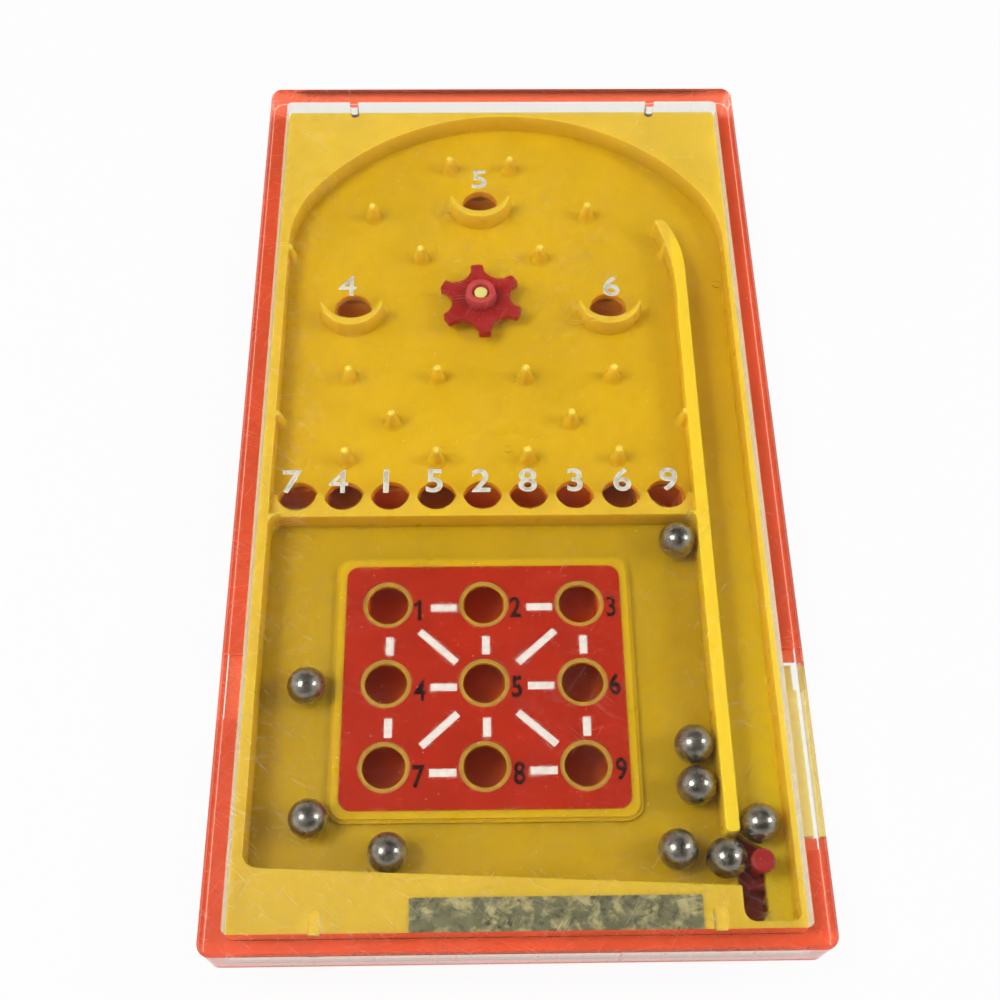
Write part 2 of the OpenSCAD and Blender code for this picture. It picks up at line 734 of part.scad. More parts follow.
module launcher_spring() {
    sides = 6;
    n = len(spring_path);
    echo(least_gap_of_spring = spring_gap());
    points = [for (i = [0 : n - 1]) each ring(i, sides)];
    faces = concat(
        [for (k = [1 : sides - 2]) [0, k, k + 1]],
        [for (k = [1 : sides - 2]) let (b = (n - 1) * sides) [b, b + k + 1, b + k]],
        [for (i = [0 : n - 2], k = [0 : sides - 1]) let (a = i * sides, m = (k + 1) % sides)
            each [[a + k, a + sides + k, a + m], [a + m, a + sides + k, a + sides + m]]]
    );
    color("silver") translate([spring_x, stop_y, spring_z]) polyhedron(points, faces);
}

module ball(i) {
    color("dimgray") translate([ball_spots[i - 1][0], ball_spots[i - 1][1], tray_z + ball_r + 0.02])
        sphere(ball_r, $fn = 48);
}

base_tray();
playfield();
clear_cover();
grid_label();
foil_strip();
star_spinner();
launcher_slide();
launcher_spring();
ball(1);  // ball_1
ball(2);  // ball_2
ball(3);  // ball_3
ball(4);  // ball_4
ball(5);  // ball_5
ball(6);  // ball_6
ball(7);  // ball_7
ball(8);  // ball_8
ball(9);  // ball_9
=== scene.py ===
"""Looks of a pocket ball game: moulded plastic, a clear cover, printed panel, steel balls and worn foil."""

import json
import math

import bmesh
import bpy
from bpy.props import FloatProperty, FloatVectorProperty, PointerProperty
from mathutils import Matrix, Vector

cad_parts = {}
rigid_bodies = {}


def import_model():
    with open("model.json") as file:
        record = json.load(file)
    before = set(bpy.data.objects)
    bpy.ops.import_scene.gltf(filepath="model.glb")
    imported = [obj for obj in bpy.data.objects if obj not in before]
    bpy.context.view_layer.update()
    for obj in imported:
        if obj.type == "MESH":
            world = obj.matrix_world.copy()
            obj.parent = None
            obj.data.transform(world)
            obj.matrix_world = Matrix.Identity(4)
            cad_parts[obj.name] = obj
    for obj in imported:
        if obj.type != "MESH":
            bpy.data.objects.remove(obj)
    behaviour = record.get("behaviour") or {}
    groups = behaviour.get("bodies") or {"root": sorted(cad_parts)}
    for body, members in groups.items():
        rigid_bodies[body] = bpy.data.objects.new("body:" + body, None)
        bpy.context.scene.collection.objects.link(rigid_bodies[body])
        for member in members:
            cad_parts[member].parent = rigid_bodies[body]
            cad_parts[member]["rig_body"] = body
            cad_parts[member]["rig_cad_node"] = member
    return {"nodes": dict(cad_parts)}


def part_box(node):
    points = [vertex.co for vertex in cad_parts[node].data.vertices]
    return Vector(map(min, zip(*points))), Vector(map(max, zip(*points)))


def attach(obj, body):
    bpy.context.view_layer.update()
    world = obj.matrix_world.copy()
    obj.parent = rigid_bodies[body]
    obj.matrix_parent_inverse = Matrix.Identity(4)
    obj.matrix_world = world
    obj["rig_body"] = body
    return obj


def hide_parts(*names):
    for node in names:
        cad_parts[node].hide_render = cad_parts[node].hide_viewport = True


bl_info = {
    "name": "Pocket ball game",
    "version": (1, 0, 0),
    "blender": (4, 5, 0),
    "location": "3D View > Sidebar > Ball game",
    "description": "Dresses the pocket ball game: tray, playfield, cover, panel, star, launcher and balls",
    "category": "Object",
}

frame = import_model()

MM = 0.001
BALLS = ["ball_%d" % i for i in range(1, 10)]
COVER_LOW, COVER_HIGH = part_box("clear_cover")
LABEL_LOW, LABEL_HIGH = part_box("grid_label")
FOIL_LOW, FOIL_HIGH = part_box("foil_strip")
COVER_TOP_THICK = 1.0 * MM
# Outer edges sharper than the first angle are rounded. Faces that meet at less than the second are shaded as
# one, and those that meet at less than the third become one flat face.
SHARP_EDGE, SMOOTH_UNDER, FLAT_UNDER = math.radians(38), math.radians(32), math.radians(0.4)
# Corners that lie closer than this are merged: in a CAD mesh, and in a digit
CAD_WELD, DIGIT_WELD = 0.002 * MM, 0.0005 * MM

# Levels of the playfield above the table: the tray's floor, the field's floor and the deck
TRAY_LEVEL, FIELD_LEVEL, DECK_LEVEL = 8.0 * MM, 9.0 * MM, 12.0 * MM
# Windows of the panel: columns and rows about its middle, and their radius, in mm
PANEL_MIDDLE = (LABEL_LOW + LABEL_HIGH) / 2 / MM
WINDOW_COLUMNS = [PANEL_MIDDLE.x + 11.54 * i for i in (-1, 0, 1)]
WINDOW_ROWS = [PANEL_MIDDLE.y + 10 * i for i in (1, 0, -1)]
WINDOW_RADIUS = 2.5
# Every round hole of the playfield in mm: the windows, the row of nine and the three cups
ROW_STEP, ROW_Y = 5.77, -4.3
HOLES = [(x, y) for x in WINDOW_COLUMNS for y in WINDOW_ROWS]
HOLES += [(PANEL_MIDDLE.x + ROW_STEP * i, ROW_Y) for i in range(-4, 5)]
HOLES += [(-3.3, 42.9), (-20.61, 24.8), (14.01, 24.8)]

# Numbers beside the windows of the panel: digit, and the middle of it in mm
PANEL_DIGITS = [
    ("1", -11.0, -19.4), ("2", 0.5, -19.1), ("3", 12.05, -19.1),
    ("4", -10.85, -29.55), ("5", 0.5, -29.2), ("6", 12.0, -29.0),
    ("7", -10.85, -39.8), ("8", 0.6, -39.5), ("9", 12.2, -39.15),
]
# How much bolder than the font each number is printed, in mm: less where its counters are narrow
PANEL_BOLD = {"3": 0.05, "4": 0.02, "8": 0.07, "9": 0.08}
PANEL_BOLD_OTHERS, PANEL_WIDEN = 0.11, 0.78
# Printed bars of the panel in mm: the middle of each, or both ends of the slanted ones
ACROSS = [(-8.1, -19.15), (3.4, -19.1), (-8.05, -29.2), (3.35, -29.1), (-8.1, -39.4), (3.4, -39.25)]
UPRIGHT = [(-14.46, -24.05), (-3.07, -24.0), (8.5, -24.0), (-14.45, -34.1), (-3.04, -34.1), (8.5, -34.1)]
SLANTED = [
    ((-10.93, -22.17), (-6.56, -26.14)), ((5.16, -22.2), (0.7, -26.22)),
    ((-6.41, -32.42), (-10.62, -36.31)), ((0.57, -32.32), (4.97, -36.19)),
]
# Raised numbers under the cover: over the row of holes, and over the three cups
COVER_DIGITS = [
    ("7", -26.6, -4.4), ("4", -20.9, -4.4), ("1", -15.1, -4.4), ("5", -9.2, -4.4), ("2", -3.5, -4.4),
    ("8", 2.2, -4.4), ("3", 8.0, -4.4), ("6", 13.8, -4.4), ("9", 19.5, -4.4),
    ("5", -3.4, 43.3), ("4", -20.95, 25.1), ("6", 14.0, 24.85),
]
COVER_BOLD, COVER_BOLD_4, COVER_WIDEN = 0.03 * MM, -0.02 * MM, 1.1

# Colours that lie over the main ones in places: painted light and shade, and also wear, dust and pits
# Painted glow: a more orange red for the channels under the row of holes
# Painted light: a paler red for the far flange
LIT_FAR_FLANGE, GLOW_UNDER_HOLES = (1.0, 0.22, 0.10), (1.0, 0.46, 0.04)
# Painted light: paler yellow for the lane's near end, and for the divider's top
LIT_LANE_END, LIT_DIVIDER_TOP = (0.775, 0.56, 0.008), (0.80, 0.555, 0.025)
# Painted light: paler yellow for the pins' tips, and for the side tab
PIN_TOP_HIGHLIGHT, LIT_SIDE_TAB = (0.80, 0.68, 0.20), (0.78, 0.60, 0.19)
# Wear and painted shade: a brownish colour for patches on the cover's digits
DIGIT_WEAR_AND_SHADE, WORN_INK, PANEL_DUST = (0.70, 0.62, 0.46), (0.05, 0.012, 0.008), (0.75, 0.25, 0.12)
FOIL_BARE, FOIL_SCUFF = (0.50, 0.43, 0.20), (0.06, 0.08, 0.05)
# Painted light: a paler red for the top of the star's hub
LIT_STAR_HUB, BALL_PIT = (0.50, 0.055, 0.055), (0.05, 0.035, 0.025)

# Scratches of the cover: turn in radians, fineness across and along, and the noise from which a line shows
SCRATCHES = [
    (0.35, 90, 1.2, 0.73), (1.15, 260, 2.4, 0.66), (2.0, 100, 1.4, 0.73),
    (2.6, 300, 2.6, 0.66), (0.8, 330, 3, 0.66), (1.7, 280, 2.2, 0.66),
]

# Lamps: the way to each from the cover, the side of its square in metres, and its share of the power
LAMPS = [
    ("lamp_left", Vector((-0.56, -0.11, 0.82)), 0.15, 1.0),
    ("lamp_right", Vector((0.78, -0.04, 0.63)), 0.12, 0.7),
]
LAMP_AWAY = 0.45
# The camera's sensor in mm, and the nearest and farthest that it sees in metres
SENSOR_WIDTH, NEAREST, FARTHEST = 36, 0.005, 20
# How high the sky starts to fade, and how high it has faded, as a share of straight up
FADE_START, FADE_END = 0.25, 0.68


# Settings

class BallGameSizes(bpy.types.PropertyGroup):
    """Sizes of the fine detail"""
    edge_round: FloatProperty(
        name="Edge rounding", description="Radius on the edges of the moulded pieces",
        default=0.18 * MM, min=0.02 * MM, max=0.3 * MM, precision=5, unit="LENGTH", subtype="DISTANCE")
    ink_thickness: FloatProperty(
        name="Ink thickness", description="Thickness of the print on the panel",
        default=0.02 * MM, min=0.01 * MM, max=0.05 * MM, precision=5, unit="LENGTH", subtype="DISTANCE")
    panel_digit_height: FloatProperty(
        name="Panel digit height", description="Height of the numbers printed beside the windows",
        default=2.68 * MM, min=1.5 * MM, max=3 * MM, precision=5, unit="LENGTH", subtype="DISTANCE")
    bar_length: FloatProperty(
        name="Bar length", description="Length of the printed bars that run across",
        default=3.1 * MM, min=2 * MM, max=4 * MM, precision=5, unit="LENGTH", subtype="DISTANCE")
    upright_bar_length: FloatProperty(
        name="Upright bar length", description="Length of the printed bars that run along the case",
        default=2.3 * MM, min=1.5 * MM, max=3 * MM, precision=5, unit="LENGTH", subtype="DISTANCE")
    bar_width: FloatProperty(
        name="Bar width", description="Width of the printed bars",
        default=0.92 * MM, min=0.5 * MM, max=1.2 * MM, precision=5, unit="LENGTH", subtype="DISTANCE")
    cover_digit_height: FloatProperty(
        name="Cover digit height", description="Height of the raised numbers under the cover",
        default=3.2 * MM, min=2 * MM, max=3.5 * MM, precision=5, unit="LENGTH", subtype="DISTANCE")
    cover_digit_depth: FloatProperty(
        name="Cover digit depth", description="How far the raised numbers stand down from the cover",
        default=0.15 * MM, min=0.05 * MM, max=0.3 * MM, precision=5, unit="LENGTH", subtype="DISTANCE")


class BallGameColours(bpy.types.PropertyGroup):
    """Colours of the finishes"""
    yellow: FloatVectorProperty(
        name="Playfield yellow", description="Colour of the playfield's deck and upper edges",
        default=(0.70, 0.465, 0.036), min=0, max=1, subtype="COLOR")
    # Painted shade: a darker copy of the deck's yellow for the field's floor
    shaded_field_yellow: FloatVectorProperty(
        name="Field yellow", description="Colour of the field's floor",
        default=(0.69, 0.42, 0.005), min=0, max=1, subtype="COLOR")
    # Painted shade: a still darker copy of the deck's yellow for the tray
    shaded_tray_yellow: FloatVectorProperty(
        name="Tray yellow", description="Colour of the yellow plastic in the tray and the lane",
        default=(0.53, 0.33, 0.003), min=0, max=1, subtype="COLOR")
    # Painted highlight: paler yellow for the rounded edges of the deck
    edge_highlight: FloatVectorProperty(
        name="Edge highlight", description="Paler yellow on the rounded edges of the deck",
        default=(0.90, 0.68, 0.09), min=0, max=1, subtype="COLOR")
    # Painted shade: a dull tan where the yellow plastic shows in shade round the windows
    window_rim_shade: FloatVectorProperty(
        name="Window rim", description="Dull tan of the plastic round the windows",
        default=(0.50, 0.27, 0.045), min=0, max=1, subtype="COLOR")
    # Painted glow: orange standing for light that shines through the walls of the holes, in shade
    hole_wall_glow: FloatVectorProperty(
        name="Hole wall", description="Orange that shines through the walls of the holes",
        default=(0.92, 0.36, 0.018), min=0, max=1, subtype="COLOR")
    tray_red: FloatVectorProperty(
        name="Tray red", description="Colour of the tray's orange-red plastic",
        default=(0.90, 0.125, 0.035), min=0, max=1, subtype="COLOR")
    # Painted glow: brighter than the tray's red, standing for light that comes through the yellow plastic
    tray_channel_glow: FloatVectorProperty(
        name="Tray inside", description="Warm red of the tray's channels under the playfield",
        default=(1.0, 0.17, 0.018), min=0, max=1, subtype="COLOR")
    star_red: FloatVectorProperty(
        name="Star red", description="Colour of the star and the launcher",
        default=(0.34, 0.012, 0.010), min=0, max=1, subtype="COLOR")
    panel_red: FloatVectorProperty(
        name="Panel red", description="Printed red of the panel",
        default=(0.42, 0.019, 0.003), min=0, max=1, subtype="COLOR")
    ink_black: FloatVectorProperty(
        name="Black ink", description="Ink of the panel's numbers",
        default=(0.014, 0.004, 0.003), min=0, max=1, subtype="COLOR")
    ink_white: FloatVectorProperty(
        name="White ink", description="Ink of the panel's bars",
        default=(0.80, 0.74, 0.66), min=0, max=1, subtype="COLOR")
    digit_white: FloatVectorProperty(
        name="Cover digits", description="White of the raised numbers under the cover",
        default=(0.97, 0.96, 0.88), min=0, max=1, subtype="COLOR")
    foil: FloatVectorProperty(
        name="Foil", description="Dull green-grey of the worn foil",
        default=(0.23, 0.215, 0.11), min=0, max=1, subtype="COLOR")
    steel: FloatVectorProperty(
        name="Steel", description="Colour of the balls and the spring",
        default=(0.25, 0.238, 0.2), min=0, max=1, subtype="COLOR")
    floor: FloatVectorProperty(
        name="Floor", description="Colour of the floor",
        default=(0.90, 0.90, 0.90), min=0, max=1, subtype="COLOR")


class BallGameStage(bpy.types.PropertyGroup):
    """Camera, lamps and floor"""
    camera_place: FloatVectorProperty(
        name="Camera place", description="Place of the camera over the near end",
        default=(-3.83 * MM, -82.15 * MM, 156.48 * MM), precision=5, unit="LENGTH", subtype="TRANSLATION")
    camera_pitch: FloatProperty(
        name="Camera pitch", description="How steeply the camera looks down",
        default=1.08501, unit="ROTATION", subtype="ANGLE")
    camera_yaw: FloatProperty(
        name="Camera yaw", description="Turn of the view about the upright",
        default=-0.034867, unit="ROTATION", subtype="ANGLE")
    camera_roll: FloatProperty(
        name="Camera roll", description="Tilt of the picture",
        default=0.02338, unit="ROTATION", subtype="ANGLE")
    lens: FloatProperty(
        name="Lens", description="Focal length in millimetres on a 36 mm wide sensor",
        default=47.651, min=20, max=120, unit="CAMERA")
    lamp_power: FloatProperty(
        name="Lamp power", description="Power of the left lamp in watts; the right one has 0.7 of it",
        default=0.72, min=0.1, max=5, unit="POWER")
    sky_low: FloatProperty(
        name="Low sky", description="Strength of the soft light from all sides near the horizon",
        default=0.85, min=0, max=3)
    sky_high: FloatProperty(
        name="High sky", description="Strength of the soft light from overhead",
        default=0.33, min=0, max=1)
    sky_mirrored: FloatProperty(
        name="Mirrored sky", description="Strength of what glossy faces mirror from overhead",
        default=0.05, min=0, max=1)
    floor_size: FloatProperty(
        name="Floor size", description="Side of the square floor",
        default=3.0, min=1, max=6, unit="LENGTH", subtype="DISTANCE")


# Modelling helpers

def deselect_all():
    if bpy.context.mode != "OBJECT":
        bpy.ops.object.mode_set(mode="OBJECT")
    bpy.ops.object.select_all(action="DESELECT")


def pick(*pieces):
    """Selects only these pieces, and makes the first one active."""
    deselect_all()
    for piece in pieces:
        piece.select_set(True)
    bpy.context.view_layer.objects.active = pieces[0]
    return pieces[0]


def named(piece, name):
    piece.name = name
    piece.data.name = name
    return piece


def settle(piece):
    """Puts the piece's place, turn and scale into its mesh."""
    pick(piece)
    bpy.ops.object.transform_apply(location=True, rotation=True, scale=True)


def joined(pieces, name):
    pick(*pieces)
    if len(pieces) > 1:
        bpy.ops.object.join()
    return named(bpy.context.active_object, name)


def merged_copy(node, name, above=0.0):
    """A copy of a CAD node, its loose triangles merged into whole faces above the given height."""
    pick(frame["nodes"][node])
    bpy.ops.object.duplicate()
    piece = named(bpy.context.active_object, name)
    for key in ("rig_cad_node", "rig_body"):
        del piece[key]
    piece.parent = None
    piece.data.materials.clear()
    bpy.ops.object.mode_set(mode="EDIT")
    bpy.ops.mesh.select_all(action="SELECT")
    bpy.ops.mesh.customdata_custom_splitnormals_clear()
    bpy.ops.mesh.remove_doubles(threshold=CAD_WELD)
    bpy.ops.mesh.select_mode(type="FACE")
    mesh = bmesh.from_edit_mesh(piece.data)
    for face in mesh.faces:
        face.select_set(min(corner.co.z for corner in face.verts) >= above)
    bmesh.update_edit_mesh(piece.data)
    bpy.ops.mesh.dissolve_limited(angle_limit=FLAT_UNDER, use_dissolve_boundaries=False)
    bpy.ops.object.mode_set(mode="OBJECT")
    return piece


def round_edges(piece, radius, wanted, clamp=True):
    """Rounds the outer edges for which wanted(middle, edge) holds.

    The clamp makes the rounding smaller for the whole piece where narrow faces would cross.
    """
    pick(piece)
    bpy.ops.object.mode_set(mode="EDIT")
    bpy.ops.mesh.select_mode(type="EDGE")
    bpy.ops.mesh.select_all(action="DESELECT")
    mesh = bmesh.from_edit_mesh(piece.data)
    found = False
    for edge in mesh.edges:
        if len(edge.link_faces) == 2 and edge.calc_face_angle_signed(0) > SHARP_EDGE:
            middle = (edge.verts[0].co + edge.verts[1].co) / 2
            if wanted(middle, edge):
                edge.select_set(True)
                found = True
    bmesh.update_edit_mesh(piece.data)
    if found:
        bpy.ops.mesh.bevel(offset=radius, segments=3, profile=0.5, clamp_overlap=clamp)
    bpy.ops.object.mode_set(mode="OBJECT")


def climbs(edge, least):
    """Whether the edge rises by more than the least height."""
    return abs(edge.verts[0].co.z - edge.verts[1].co.z) > least


def smooth(piece):
    """Smooth shading on curved faces, while large faces stay flat."""
    pick(piece)
    bpy.ops.object.shade_smooth_by_angle(angle=SMOOTH_UNDER)
    bpy.ops.object.modifier_add(type="WEIGHTED_NORMAL")
    piece.modifiers[-1].keep_sharp = True
    bpy.ops.object.modifier_apply(modifier=piece.modifiers[-1].name)


def finish_piece(piece, finish, body, slot, *nodes):
    """Gives the piece its finish, fixes it to the body that it rides on, and hides the nodes that it stands
    for.
    """
    piece.data.materials.clear()
    piece.data.materials.append(finish)
    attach(piece, body)
    if nodes:
        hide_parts(*nodes)


def letter(character, x, y, z, height, depth, boldness, widen, rounded=0.0):
    """One digit as a solid mesh of the given height, its middle at x, y and z."""
    deselect_all()
    bpy.ops.object.text_add()
    piece = bpy.context.active_object
    piece.data.body = character
    font_size_for_height = 1.4
    piece.data.size = height * font_size_for_height
    piece.data.offset = boldness
    piece.data.extrude = depth / 2 - rounded
    piece.data.bevel_depth = rounded
    piece.data.bevel_resolution = 1
    piece.data.resolution_u = 6
    bpy.ops.object.convert(target="MESH")
    piece = bpy.context.active_object
    bpy.ops.object.mode_set(mode="EDIT")
    bpy.ops.mesh.select_all(action="SELECT")
    bpy.ops.mesh.remove_doubles(threshold=DIGIT_WELD)
    bpy.ops.mesh.dissolve_degenerate(threshold=DIGIT_WELD)
    bpy.ops.object.mode_set(mode="OBJECT")
    low = [min(v.co[k] for v in piece.data.vertices) for k in range(3)]
    high = [max(v.co[k] for v in piece.data.vertices) for k in range(3)]
    scale = height / (high[1] - low[1])
    piece.scale = (scale * widen, scale, 1)
    piece.location = (x - scale * widen * (low[0] + high[0]) / 2, y - scale * (low[1] + high[1]) / 2, z)
    settle(piece)
    return piece


# Finishes

class Paint:
    """The nodes of one finish, joined to its shader step by step."""

    def __init__(self, name):
        self.material = bpy.data.materials.new(name)
        self.material.use_nodes = True
        self.tree = self.material.node_tree
        self.shader = self.tree.nodes["Principled BSDF"]
        self.output = self.tree.nodes["Material Output"]
        self.place = self.tree.nodes.new("ShaderNodeTexCoord").outputs["Object"]

    def link(self, start, end):
        self.tree.links.new(start, end)

    def stretched(self, scale, turn=(0, 0, 0)):
        """The piece's own coordinates, turned and stretched."""
        node = self.tree.nodes.new("ShaderNodeMapping")
        node.vector_type = "TEXTURE"
        node.inputs["Scale"].default_value = tuple(1 / size for size in scale)
        node.inputs["Rotation"].default_value = turn
        self.link(self.place, node.inputs["Vector"])
        return node.outputs["Vector"]

    def noise(self, per_metre, detail=4, rough=0.55, vector=None, distortion=0):
        node = self.tree.nodes.new("ShaderNodeTexNoise")
        node.inputs["Scale"].default_value = per_metre
        node.inputs["Detail"].default_value = detail
        node.inputs["Roughness"].default_value = rough
        node.inputs["Distortion"].default_value = distortion
        self.link(vector or self.place, node.inputs["Vector"])
        return node.outputs["Fac"]

    def along(self, axis):
        """Place along X, Y or Z, in metres."""
        node = self.tree.nodes.new("ShaderNodeSeparateXYZ")
        self.link(self.place, node.inputs["Vector"])
        return node.outputs[axis]

    def spread(self, value, low, high, to_low=0, to_high=1):
        """The value moved from one range to another, and held inside it."""
        node = self.tree.nodes.new("ShaderNodeMapRange")
        for socket, number in zip(("From Min", "From Max", "To Min", "To Max"), (low, high, to_low, to_high)):
            node.inputs[socket].default_value = number
        self.link(value, node.inputs["Value"])
        return node.outputs["Result"]

    def rise(self, axis, start, end, to_start=0, to_end=1):
        """Goes from one number to the other between two places along an axis, in mm."""
        return self.spread(self.along(axis), start * MM, end * MM, to_start, to_end)

    def maths(self, what, a, b=0.0):
        node = self.tree.nodes.new("ShaderNodeMath")
        node.operation = what
        for socket, value in zip(node.inputs, (a, b)):
            if isinstance(value, (int, float)):
                socket.default_value = value
            else:
                self.link(value, socket)
        return node.outputs["Value"]

    def product(self, first, *others):
        for other in others:
            first = self.maths("MULTIPLY", first, other)
        return first

    def mixed(self, share, a, b):
        """Shader a where the share is 0, and shader b where it is 1, as the finish's surface."""
        node = self.tree.nodes.new("ShaderNodeMixShader")
        self.link(share, node.inputs["Fac"])
        self.link(a, node.inputs[1])
        self.link(b, node.inputs[2])
        self.link(node.outputs["Shader"], self.output.inputs["Surface"])

    def blend(self, share, a, b):
        """Colour a, going over to b as share rises."""
        node = self.tree.nodes.new("ShaderNodeMix")
        node.data_type = "RGBA"
        sockets = [s for s in node.inputs if s.type == "RGBA"]
        self.link(share, node.inputs["Factor"])
        for socket, value in zip(sockets, (a, b)):
            if isinstance(value, (tuple, list)):
                socket.default_value = (*value, 1)
            else:
                self.link(value, socket)
        return next(s for s in node.outputs if s.type == "RGBA")

    def relief(self, value, depth, strength, over=None):
        """Bumps of the given depth in metres."""
        node = self.tree.nodes.new("ShaderNodeBump")
        node.inputs["Distance"].default_value = depth
        node.inputs["Strength"].default_value = strength
        self.link(value, node.inputs["Height"])
        if over is not None:
            self.link(over, node.inputs["Normal"])
        return node.outputs["Normal"]

    def set(self, **values):
        for name, value in values.items():
            self.shader.inputs[name.replace("_", " ")].default_value = value

    def colour(self, value):
        self.link(value, self.shader.inputs["Base Color"])

    def roughness(self, value):
        self.link(value, self.shader.inputs["Roughness"])

    def normal(self, value):
        self.link(value, self.shader.inputs["Normal"])


def rgb(value):
    return tuple(value)[:3]


def scaled(value, by):
    return tuple(min(1, part * by) for part in rgb(value))


def moulded(paint, tint, deep, rough, soft, sheen=0.4):
    """Moulded plastic: faint flow marks, a fine skin, specks and a few dull rubbed spots."""
    specks = paint.spread(paint.noise(2600, 2, 0.5), 0.70, 0.78)
    tint = paint.blend(paint.product(specks, 0.35), tint, scaled(deep, 0.55))
    paint.colour(tint)
    rubbed = paint.noise(420, 6, 0.65)
    paint.roughness(paint.spread(rubbed, 0.3, 0.75, rough - 0.06, rough + 0.16))
    skin = paint.relief(paint.noise(5200, 3, 0.6), 0.012 * MM, 0.5)
    flow = paint.relief(paint.noise(160, 2, 0.5, paint.stretched((1, 0.35, 1))), 0.05 * MM, 0.5, skin)
    paint.normal(flow)
    paint.set(Specular_IOR_Level=sheen)
    if soft:
        paint.set(Subsurface_Weight=soft, Subsurface_Scale=2.6 * MM)
        paint.shader.inputs["Subsurface Radius"].default_value = (1.0, 0.72, 0.12)
    return paint.material


def cloudy(paint, colour, deep, per_metre=90):
    """Colour that goes over to a deeper one in large soft clouds."""
    return paint.blend(paint.spread(paint.noise(per_metre, 5, 0.6), 0.36, 0.66), rgb(colour), rgb(deep))


def printed(name, ink, worn_ink, per_metre, worn, rough):
    """Flat ink, worn off in small patches where the noise passes through the range worn."""
    paint = Paint(name)
    patches = paint.spread(paint.noise(per_metre, 4, 0.65), *worn)
    paint.colour(paint.blend(patches, rgb(ink), worn_ink))
    paint.roughness(paint.spread(paint.noise(900, 3), 0.3, 0.7, *rough))
    return paint


# Pieces

class BALL_GAME_OT_tray(bpy.types.Operator):
    """Dresses the orange-red tray, whose ribs lead the balls"""
    bl_idname = "ball_game.tray"
    bl_label = "Tray"

    def execute(self, context):
        sizes, colours = context.scene.ball_game_sizes, context.scene.ball_game_colours
        # Only the flange is rounded: what lies inside the case keeps its sharp ribs.
        under_flange = COVER_LOW.z - 1.6 * MM
        piece = merged_copy("base_tray", "tray", under_flange)
        round_edges(piece, sizes.edge_round * 0.7, lambda middle, edge: middle.z > under_flange)
        smooth(piece)
        paint = Paint("tray_plastic")
        tint = cloudy(paint, colours.tray_red, scaled(colours.tray_red, 0.86))
        # The channels lie within the tray's walls, above its floor and below the playfield. Their warm red is
        # a painted glow, brighter than the tray, standing for light that comes through the yellow plastic.
        across = paint.spread(paint.maths("ABSOLUTE", paint.along("X")), 30.3 * MM, 30 * MM)
        down = paint.spread(paint.maths("ABSOLUTE", paint.along("Y")), 57.3 * MM, 57 * MM)
        above = paint.rise("Z", 1.4, 1.55)
        below = paint.rise("Z", 6.9, 6.7)
        inside = paint.product(across, down, above, below)
        channels = cloudy(paint, colours.tray_channel_glow, scaled(colours.tray_channel_glow, 0.88), 200)
        # Painted glow: the channels under the row of holes are more orange still.
        under_holes = paint.rise("Y", -5, 0.5)
        channels = paint.blend(under_holes, channels, GLOW_UNDER_HOLES)
        tint = paint.blend(inside, tint, channels)
        # Painted light: the far flange is paler.
        tint = paint.blend(paint.rise("Y", 57, 58.2), tint, LIT_FAR_FLANGE)
        finish = moulded(paint, tint, colours.tray_red, 0.34, 0.15)
        finish_piece(piece, finish, "case", "body_red", "base_tray")
        return {"FINISHED"}


